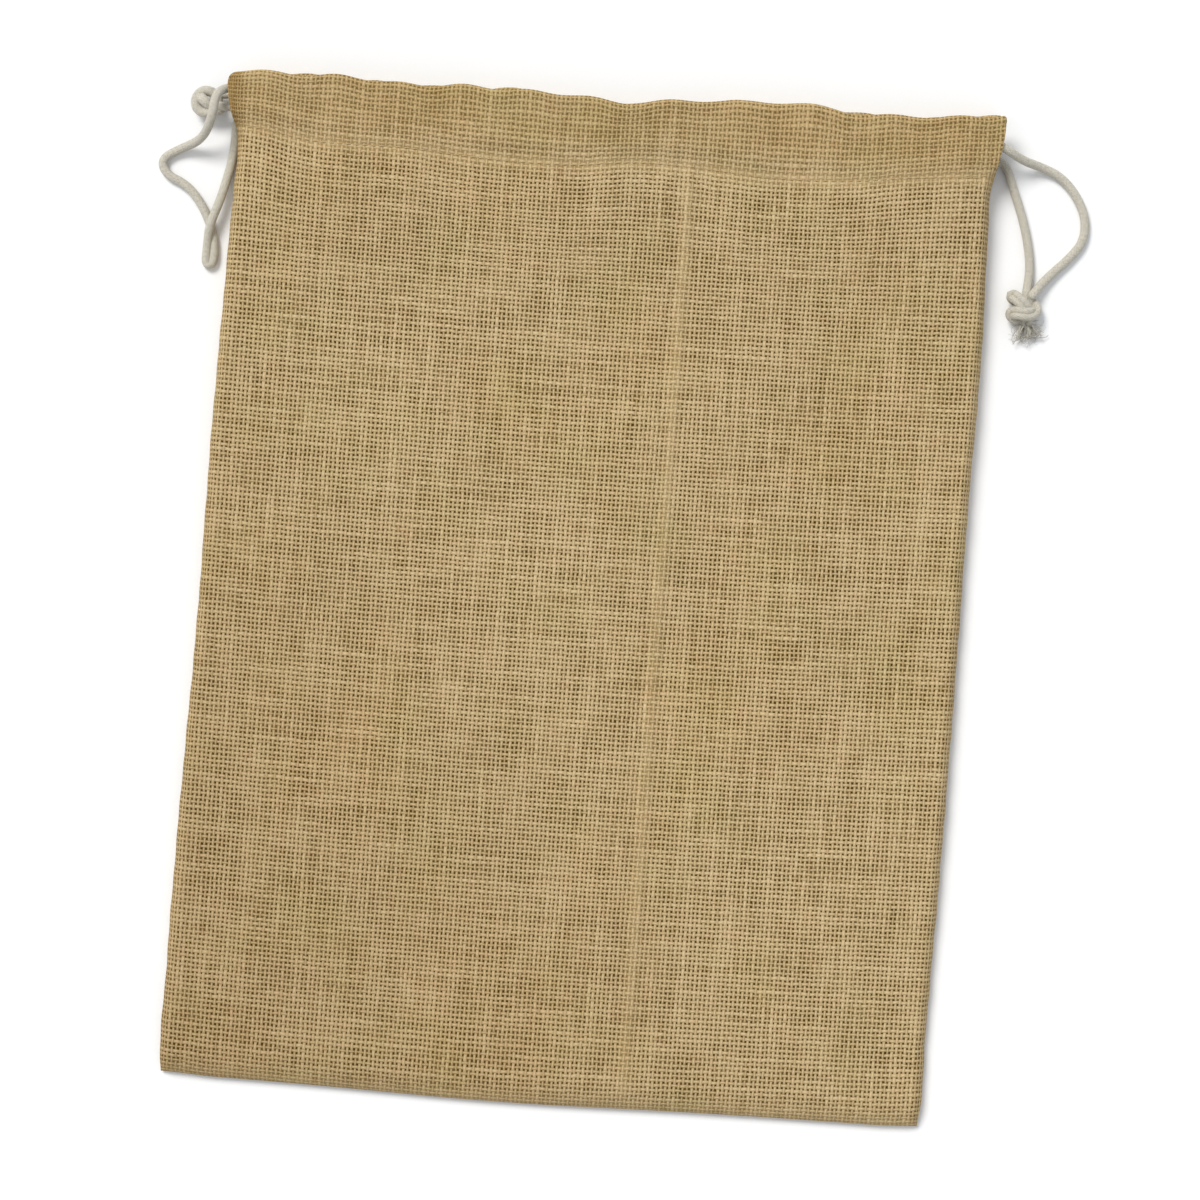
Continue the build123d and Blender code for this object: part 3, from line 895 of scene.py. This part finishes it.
def overlock_material(cloth):
    """The paler thread that binds the raw edges inside."""
    dark = tuple(part * 0.7 for part in cloth.overlock)
    light = tuple(min(1.0, part * 1.2) for part in cloth.overlock)
    return thread_material("binding thread", dark, cloth.overlock, light)


def cotton_material(cord):
    """Soft braided cotton: the same weave as the cloth's, turned to run slantwise round the cord."""
    name = "braided cotton"
    if name in bpy.data.materials:
        return bpy.data.materials[name]
    material, w, inputs = new_material(name, 0.95, sheen=0.25)
    threads = w.threads()
    around, along, _ = w.parts(threads)
    slantwise = w.vector(w.math("ADD", around, along), w.math("SUBTRACT", around, along))
    weave = w.place(
        plain_weave_group(), Threads=slantwise, Yarn_Width=0.92, Row_Width=0.92, Unevenness=0.25, Wobble=0.25,
        Edge=0.3)
    fuzz = w.noise(threads, 1.1, 3.0)
    grain = w.place(fibre_grain_group(), Threads=slantwise, Fineness=5.0)["Grain"]
    # Painted highlight on the braid's raised yarns and painted shade between them, from its height, with fuzz
    # and grain.
    tone = w.math("MULTIPLY_ADD", weave["Height"], 0.75, w.math("MULTIPLY_ADD", fuzz, 1.7, -0.75))
    tone = w.math("MULTIPLY_ADD", grain, 0.5, tone, clamp=True)
    w.feed(inputs["Base Color"], w.blend_colours(tone, opaque(cord.shade), opaque(cord.light)))
    height = w.math("MULTIPLY_ADD", fuzz, 0.5, w.math("MULTIPLY_ADD", grain, 0.3, weave["Height"]))
    relief(w, inputs, height, 0.22 * MM, 0.8)
    return material


# ---------------------------------------------------------------- how the pieces follow the model
def follow_gather(piece):
    """Bakes the placement of a piece into its mesh."""
    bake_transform(piece)


def stitches(line, length, radius, rise=0.22 * MM, sink=0.35 * MM, lift=(0.0, 0.0, 1.0), skip=0.22):
    """Short arched threads along a line, one for each stitch, which dip into the cloth at their ends."""
    along = lengths_along(line)
    made = []
    for first in np.arange(0.3 * length, along[-1] - length, length):
        at = first + np.linspace(0.0, 1.0 - skip, 7) * length
        points = np.stack([np.interp(at, along, line[:, axis]) for axis in range(3)], axis=1)
        arch = np.sin(np.linspace(0.0, np.pi, 7))
        points += np.outer(arch * (rise + sink) - sink, lift)
        made.append(tube(points, radius, 7, pitch=radius * 2))
    return made


class PouchOperator(bpy.types.Operator):
    """Common ground of the pouch's operators."""

    bl_options = {"REGISTER", "UNDO"}

    @property
    def cloth(self):
        return bpy.context.scene.pouch_cloth

    @property
    def cord(self):
        return bpy.context.scene.pouch_cord


class POUCH_OT_studio(PouchOperator):
    """Set the camera, the lights and the floor"""

    bl_idname = "pouch.studio"
    bl_label = "Studio"

    def execute(self, context):
        scene = context.scene
        studio = scene.pouch_studio
        camera_data = bpy.data.cameras.new("camera")
        camera_data.lens = studio.lens
        camera = bpy.data.objects.new("camera", camera_data)
        cloth_level = 10 * MM
        distance = studio.view_width * studio.lens / camera_data.sensor_width
        camera.location = (studio.view_x, studio.view_y, distance + cloth_level)
        camera.rotation_euler = (0.0, 0.0, studio.turn)
        scene.collection.objects.link(camera)
        scene.camera = camera
        scene.view_settings.view_transform = "Standard"

        sun_data = bpy.data.lights.new("key_light", "SUN")
        sun_data.energy = studio.sun
        sun_data.angle = math.radians(24)
        sun_data.color = (1.0, 0.985, 0.96)
        sun = bpy.data.objects.new("key_light", sun_data)
        towards = Vector((0.50, -0.60, -0.92))
        sun.rotation_euler = towards.to_track_quat("-Z", "Y").to_euler()
        scene.collection.objects.link(sun)

        world = bpy.data.worlds.new("studio")
        world.use_nodes = True
        sky = world.node_tree.nodes["Background"]
        sky.inputs["Color"].default_value = (0.93, 0.96, 1.0, 1.0)
        sky.inputs["Strength"].default_value = studio.sky
        scene.world = world

        self.make_floor(scene, studio)
        return {"FINISHED"}

    def make_floor(self, scene, studio):
        """A pale matt floor, just under the pouch."""
        reach, level = 4.0, -0.05 * MM
        corners = [(x * reach, y * reach, level) for x, y in ((-1, -1), (1, -1), (1, 1), (-1, 1))]
        mesh = bpy.data.meshes.new("floor")
        mesh.from_pydata(corners, [], [(0, 1, 2, 3)])
        floor = bpy.data.objects.new("floor", mesh)
        material, w, inputs = new_material("floor", 0.9)
        place = w.node("ShaderNodeTexCoord").outputs["Object"]
        shade = w.math("MULTIPLY_ADD", w.noise(place, 3.0), 0.02, 0.99)
        pale = opaque(part * 0.98 for part in studio.floor)
        w.feed(inputs["Base Color"], w.blend_colours(shade, pale, opaque(studio.floor)))
        mesh.materials.append(material)
        scene.collection.objects.link(floor)


class POUCH_OT_cords(PouchOperator):
    """Lay the two drawcords through the channels and loose beside the pouch"""

    bl_idname = "pouch.cords"
    bl_label = "Drawcords"

    def cord_patch(self, line, spacing):
        """A braided tube along a line of evenly spaced points."""
        radius = self.cord.diameter / 2
        pitch = self.cord.braid_pitch

        def braid(angle, along):
            turned, shifted = BRAID_CARRIERS * angle / 2, np.pi * along / pitch
            return 0.022 * np.cos(turned + shifted) * np.cos(turned - shifted)

        size = rounded_ends(len(line), spacing, radius)
        return tube(line, size, 36, turns=BRAID_CARRIERS, pitch=pitch, relief=braid)

    def lay(self, name, routes, spacing=0.4 * MM):
        lines = [spline_line(route, spacing) for route in routes]
        patches = [self.cord_patch(line, spacing) for line in lines]
        piece = build_mesh(name, patches, cotton_material(self.cord))
        return piece, lines[0]

    def execute(self, context):
        drawcord, _ = self.lay("left_drawcord_braid", [LEFT_DRAWCORD_ROUTE], 1.0 * MM)
        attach(drawcord, "left_cord")
        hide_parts("left_drawcord")

        channel, _ = self.lay("right_drawcord_braid", RIGHT_CHANNEL_ROUTES, 1.0 * MM)
        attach(channel, "right_cord")
        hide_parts("right_drawcord")

        bight, line = self.lay("left_bight_braid", [LEFT_BIGHT_ROUTE])
        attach(bight, "left_mouth")
        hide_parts("left_loose_bight")
        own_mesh(bight)

        for name, route, node, length, exit_point in (
            ("right_outer_braid", RIGHT_OUTER_ROUTE, "right_outer_strand", 0.101, (MOUTH_X, 0.191, 0.01325)),
            ("right_inner_braid", RIGHT_INNER_ROUTE, "right_inner_strand", 0.069, (MOUTH_X, 0.182, 0.00295))):
            strand, line = self.lay(name, [route])
            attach(strand, "right_cord")
            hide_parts(node)
        return {"FINISHED"}


class POUCH_OT_knots(PouchOperator):
    """Tie the stopper knot on the left and the double knot with frayed ends on the right"""

    bl_idname = "pouch.knots"
    bl_label = "Knots"

    def execute(self, context):
        spacing = 0.35 * MM
        radius = self.cord.diameter / 2
        pitch = self.cord.braid_pitch
        material = cotton_material(self.cord)

        line = spline_line(LEFT_KNOT_ROUTE, spacing) + np.array(LEFT_KNOT_MIDDLE)
        size = rounded_ends(len(line), spacing, radius * 1.16)
        rolled = tube(line, size, 30, turns=BRAID_CARRIERS, pitch=pitch)
        ball = build_mesh("left_knot_ball", [rolled], material)
        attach(ball, "left_cord")
        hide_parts("left_knot")

        line = spline_line(RIGHT_KNOT_ROUTE, spacing) + np.array(RIGHT_KNOT_MIDDLE)
        forward = np.gradient(line, axis=0)
        forward /= np.linalg.norm(forward, axis=1)[:, None]
        aside = np.cross(forward, [0.0, 0.0, 1.0])
        aside /= np.linalg.norm(aside, axis=1)[:, None]
        patches = []
        for share in (-1.0, 1.0):
            strand = line + share * 1.12 * MM * aside
            size = rounded_ends(len(line), spacing, radius * 0.86)
            patches.append(tube(strand, size, 26, turns=BRAID_CARRIERS, pitch=pitch))
        double = build_mesh("right_knot_wraps", patches, material)
        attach(double, "right_cord")
        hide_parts("right_knot")
        self.fray(material)
        return {"FINISHED"}

    def fray(self, material):
        """The unlaid ends of both strands, as loose yarns and finer fibres that curl."""
        chance = np.random.default_rng(11)
        root = np.array([0.1684, 0.1206, 0.0034])
        patches = []
        for number in range(FRAYED_YARNS):
            fine = number >= THICK_YARNS
            turn = math.radians(chance.uniform(-128.0, -38.0) if number % 4 else chance.uniform(-40.0, 25.0))
            reach = chance.uniform(4.5, 8.6) * MM
            away = np.array([math.cos(turn), math.sin(turn), 0.0])
            scatter = [chance.normal(0, 1.1), chance.normal(0, 0.7), chance.uniform(-1.2, 1.4)]
            start = root + np.array(scatter) * MM
            tip = start + away * reach
            tip[2] = chance.uniform(0.3, 3.2) * MM
            curl = np.array([-away[1], away[0], 0.0]) * chance.normal(0, 1.5) * MM
            middle = (start + tip) / 2 + curl + np.array([0.0, 0.0, chance.uniform(0.0, 1.2) * MM])
            beyond = tip - curl * chance.uniform(0.4, 1.3)
            line = spline_line([start, middle, tip, beyond], 0.5 * MM)
            thick = (0.11 if fine else chance.uniform(0.22, 0.42)) * MM
            taper = thick * np.linspace(1.0, 0.35, len(line))
            patches.append(tube(line, taper, 6, turns=3, pitch=1.0 * MM))
        frayed = build_mesh("right_frayed_yarns", patches, material)
        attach(frayed, "right_cord")
        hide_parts("right_frayed_ends")


class POUCH_OT_panels(PouchOperator):
    """Lay the front and back panels, with their folded channels, as two halves each"""

    bl_idname = "pouch.panels"
    bl_label = "Panels and channels"

    def execute(self, context):
        material = jute_cloth_material(self.cloth)
        for ply_name, section in (("back", back_section()), ("front", front_section())):
            front = ply_name == "front"
            for side_name in SIDES:
                patch = cloth_patch(section, side_name, front, self.cloth)
                piece = build_mesh(f"{ply_name}_cloth_{side_name}", [patch], material)
                thicken(piece, self.cloth.thickness)
                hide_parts(f"{ply_name}_panel", f"{ply_name}_channel")
                follow_gather(piece)
        return {"FINISHED"}


class POUCH_OT_channel_ends(PouchOperator):
    """Turn in the hems at the four ends of the channels"""

    bl_idname = "pouch.channel_ends"
    bl_label = "Channel ends"

    def hem(self, side_name, front):
        """A hem that rolls under at the end of a channel and lies flat inside it."""
        side = SIDES[side_name]
        cloth = self.cloth
        y = np.arange(PINCH_Y + 3.5 * MM, TOP_Y - 3.2 * MM, MOUTH_STEP)
        edge = through(OUTLINES[side_name], y) - 0.7 * MM
        level = (front_height(y) - 0.45 * MM) if front else np.full(len(y), 0.40 * MM)
        down = -1.0 if front else 1.0
        radius = 0.30 * MM
        half = np.linspace(np.pi / 2, -np.pi / 2, 9)
        across = np.concatenate([
            edge[:, None] + radius * np.cos(half)[None, :],
            edge[:, None] - np.linspace(0.8, 7.5, 8)[None, :] * MM], axis=1)
        turned = np.concatenate([(1.0 - np.sin(half)) * radius, np.full(8, 2 * radius)])
        height = level[:, None] + down * turned[None, :]
        if front:
            height += front_wave(across * side, y[:, None], side, cloth.pucker)
        place = y[:, None] + laid_shift(side * across, y[:, None])
        points = np.stack([side * across, place, height], axis=-1)
        around = np.cumsum(np.abs(np.diff(across, axis=1, prepend=across[:, :1])), axis=1)
        threads = np.stack([
            around * 1.6 / cloth.yarn_pitch,
            np.broadcast_to(y[:, None] / cloth.row_pitch, across.shape)], axis=-1)
        backing = np.full(across.shape, 0.7)
        return Patch(points, threads, flip=(side < 0) == front, backing=backing)

    def execute(self, context):
        material = jute_cloth_material(self.cloth)
        for side_name in SIDES:
            patches = [self.hem(side_name, True), self.hem(side_name, False)]
            piece = build_mesh(f"{side_name}_channel_hems", patches, material)
            thicken(piece, 0.2 * MM)
            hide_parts(f"{side_name}_channel_ends")
            follow_gather(piece)
        return {"FINISHED"}


class POUCH_OT_seams(PouchOperator):
    """Fold the seam allowances inside, and overlock their raw edges"""

    bl_idname = "pouch.seams"
    bl_label = "Seams inside"

    def plies(self, low, high):
        """Two plies of cloth, one over the other, that fill a box and wave a little."""
        patches = []
        x = np.linspace(low.x, high.x, max(5, round((high.x - low.x) / SEAM_STEP)))
        y = np.linspace(low.y, high.y, max(5, round((high.y - low.y) / SEAM_STEP)))
        grid_y, grid_x = np.meshgrid(y, x, indexing="ij")
        threads = np.stack([grid_x / self.cloth.yarn_pitch, grid_y / self.cloth.row_pitch], axis=-1)
        ply = (high.z - low.z) / 2
        for number in range(2):
            top = low.z + (number + 1) * ply - 0.1 * MM
            height = top + 0.06 * MM * np.sin(grid_x / 0.004 + grid_y / 0.009 + number)
            points = np.stack([grid_x, grid_y, height], axis=-1)
            patches.append(Patch(points, threads, backing=np.full(grid_x.shape, 0.5)))
        return patches

    def binding(self, low, high, along_y, raw_side):
        """An overlock thread that zigzags over both plies and wraps their raw edge."""
        start, stop = (low.y, high.y) if along_y else (low.x, high.x)
        near, far = (low.x, high.x) if along_y else (low.y, high.y)
        if raw_side > 0:
            near, far = far, near
        step = 2.6 * MM
        count = int((stop - start) / step)
        radius = 0.2 * MM
        over, under = high.z - radius, low.z + radius
        shape = [(0.02, 0.5, 0.0), (0.02, 1.0, 0.0), (0.55, 1.0, 0.25), (1.0, 1.0, 0.5),
                 (0.55, 1.0, 0.75), (0.02, 1.0, 1.0), (0.02, 0.0, 1.0), (0.6, 0.0, 1.0)]
        places = []
        for loop in range(count):
            for across, up, forward in shape:
                sideways = near + (far - near) * across
                ahead = start + (loop + forward) * step
                height = under + (over - under) * up
                places.append((sideways, ahead, height) if along_y else (ahead, sideways, height))
        return tube(np.array(places), radius, 5, pitch=1.0 * MM)

    def execute(self, context):
        cloth_material = jute_cloth_material(self.cloth)
        binding_material = overlock_material(self.cloth)
        for name, along_y, raw_side in (("left", True, 1), ("right", True, -1), ("bottom", False, 1)):
            plies = build_mesh(
                f"{name}_allowance_plies", self.plies(*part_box(f"{name}_seam_allowance")), cloth_material)
            thicken(plies, 0.8 * MM)
            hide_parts(f"{name}_seam_allowance")
            bound = build_mesh(
                f"{name}_overlock_thread", [self.binding(*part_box(f"{name}_overlock"), along_y, raw_side)],
                binding_material)
            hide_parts(f"{name}_overlock")
            for piece in (plies, bound):
                if name in SIDES:
                    follow_gather(piece)
                else:
                    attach(piece, "bag")
        return {"FINISHED"}


class POUCH_OT_stitching(PouchOperator):
    """Sew the channels, the seams, the channel ends and the bar tacks"""

    bl_idname = "pouch.stitching"
    bl_label = "Stitching"

    def sew(self, name, patches, node, side_name):
        piece = build_mesh(name, patches, jute_thread_material(self.cloth))
        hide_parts(node)
        if side_name:
            follow_gather(piece)
        else:
            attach(piece, "bag")

    def channel_row(self, side_name, front):
        """The row of stitches that closes one half of a channel."""
        side = SIDES[side_name]
        x = np.linspace(0.0, CHANNEL_X + 2 * MM, 240)
        y = np.full(len(x), STITCH_Y)
        if front:
            z = front_height(y) + front_wave(x * side, y, side, self.cloth.pucker)
            lift = (0.0, 0.0, 1.0)
        else:
            z = np.full(len(x), BACK_STITCH_Z)
            lift = (0.0, 0.0, -1.0)
        line = np.stack([side * x, y + laid_shift(side * x, y), z], axis=1)
        rise = 0.22 * MM if front else 0.05 * MM
        return stitches(line, self.cloth.stitch, self.cloth.thread / 2, rise=rise, lift=lift)

    def straight_row(self, start, end, lift=(0.0, 0.0, 1.0)):
        line = evenly(np.array([start, end], float), 1.0 * MM)
        return stitches(line, self.cloth.stitch, 0.2 * MM, rise=0.1 * MM, sink=0.2 * MM, lift=lift)

    def execute(self, context):
        for side_name, side in SIDES.items():
            for ply_name in ("front", "back"):
                row = self.channel_row(side_name, ply_name == "front")
                node = f"{ply_name}_channel_stitching"
                self.sew(f"{ply_name}_channel_stitches_{side_name}", row, node, side_name)
            low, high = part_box(f"{side_name}_seam_stitching")
            middle = (low.x + high.x) / 2
            row = self.straight_row((middle, low.y, high.z), (middle, high.y, high.z))
            self.sew(f"{side_name}_seam_stitches", row, f"{side_name}_seam_stitching", side_name)
            self.channel_end(side_name, side)
            self.bar_tack(side_name)
        low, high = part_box("bottom_seam_stitching")
        middle = (low.y + high.y) / 2
        row = self.straight_row((low.x, middle, high.z), (high.x, middle, high.z))
        self.sew("bottom_seam_stitches", row, "bottom_seam_stitching", None)
        return {"FINISHED"}

    def channel_end(self, side_name, side):
        """The short rows of stitches that hold the hems at a channel's ends."""
        x = (END_STITCH_LOW.x + END_STITCH_HIGH.x) / 2 - 3.0 * MM
        y = np.linspace(END_STITCH_LOW.y, END_STITCH_HIGH.y, 40)
        wave = front_wave(np.full(len(y), x * side), y, side, self.cloth.pucker)
        place = y + laid_shift(np.full(len(y), side * x), y)
        across = np.full(len(y), side * x)
        top = np.stack([across, place, front_height(y) + wave], axis=1)
        under = np.stack([across, place, np.full(len(y), BACK_STITCH_Z)], axis=1)
        length = 2.6 * MM
        row = stitches(top, length, 0.2 * MM, rise=0.1 * MM)
        row += stitches(under, length, 0.2 * MM, rise=0.05 * MM, lift=(0.0, 0.0, -1.0))
        self.sew(f"{side_name}_channel_end_stitches", row, f"{side_name}_channel_end_stitching", side_name)

    def bar_tack(self, side_name):
        """A dense zigzag of thread that keeps the side seam from tearing at its top."""
        low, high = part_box(f"{side_name}_bar_tack")
        count = 9
        radius = 0.2 * MM
        places = []
        for number in range(2 * count):
            y = low.y + (high.y - low.y) * (number % 2)
            x = low.x + (high.x - low.x) * number / (2 * count - 1)
            places += [(x, y, high.z - 0.5 * MM), (x, y, high.z - radius)]
        self.sew(
            f"{side_name}_bar_tack_thread", [tube(np.array(places), radius, 6, pitch=1.0 * MM)],
            f"{side_name}_bar_tack", side_name)


OPERATORS = (
    POUCH_OT_studio, POUCH_OT_cords, POUCH_OT_knots, POUCH_OT_panels, POUCH_OT_channel_ends,
    POUCH_OT_seams, POUCH_OT_stitching,
)


class POUCH_PT_build(bpy.types.Panel):
    """Lists the steps that build the pouch, with its sizes and colours"""

    bl_idname = "POUCH_PT_build"
    bl_label = "Jute Gift Pouch"
    bl_space_type = "VIEW_3D"
    bl_region_type = "UI"
    bl_category = "Pouch"

    def draw(self, context):
        for operator in OPERATORS:
            self.layout.operator(operator.bl_idname)
        for group in (context.scene.pouch_cloth, context.scene.pouch_cord, context.scene.pouch_studio):
            box = self.layout.box()
            for name in group.__annotations__:
                box.prop(group, name)


CLASSES = (PouchClothSettings, PouchCordSettings, PouchStudioSettings, *OPERATORS, POUCH_PT_build)


def register():
    for entry in CLASSES:
        bpy.utils.register_class(entry)
    bpy.types.Scene.pouch_cloth = PointerProperty(type=PouchClothSettings)
    bpy.types.Scene.pouch_cord = PointerProperty(type=PouchCordSettings)
    bpy.types.Scene.pouch_studio = PointerProperty(type=PouchStudioSettings)


def unregister():
    del bpy.types.Scene.pouch_studio
    del bpy.types.Scene.pouch_cord
    del bpy.types.Scene.pouch_cloth
    for entry in reversed(CLASSES):
        bpy.utils.unregister_class(entry)


def main():
    """Builds the pouch step by step."""
    register()
    bpy.ops.pouch.studio()
    bpy.ops.pouch.cords()
    bpy.ops.pouch.knots()
    bpy.ops.pouch.panels()
    bpy.ops.pouch.channel_ends()
    bpy.ops.pouch.seams()
    bpy.ops.pouch.stitching()


if __name__ == "__main__":
    main()
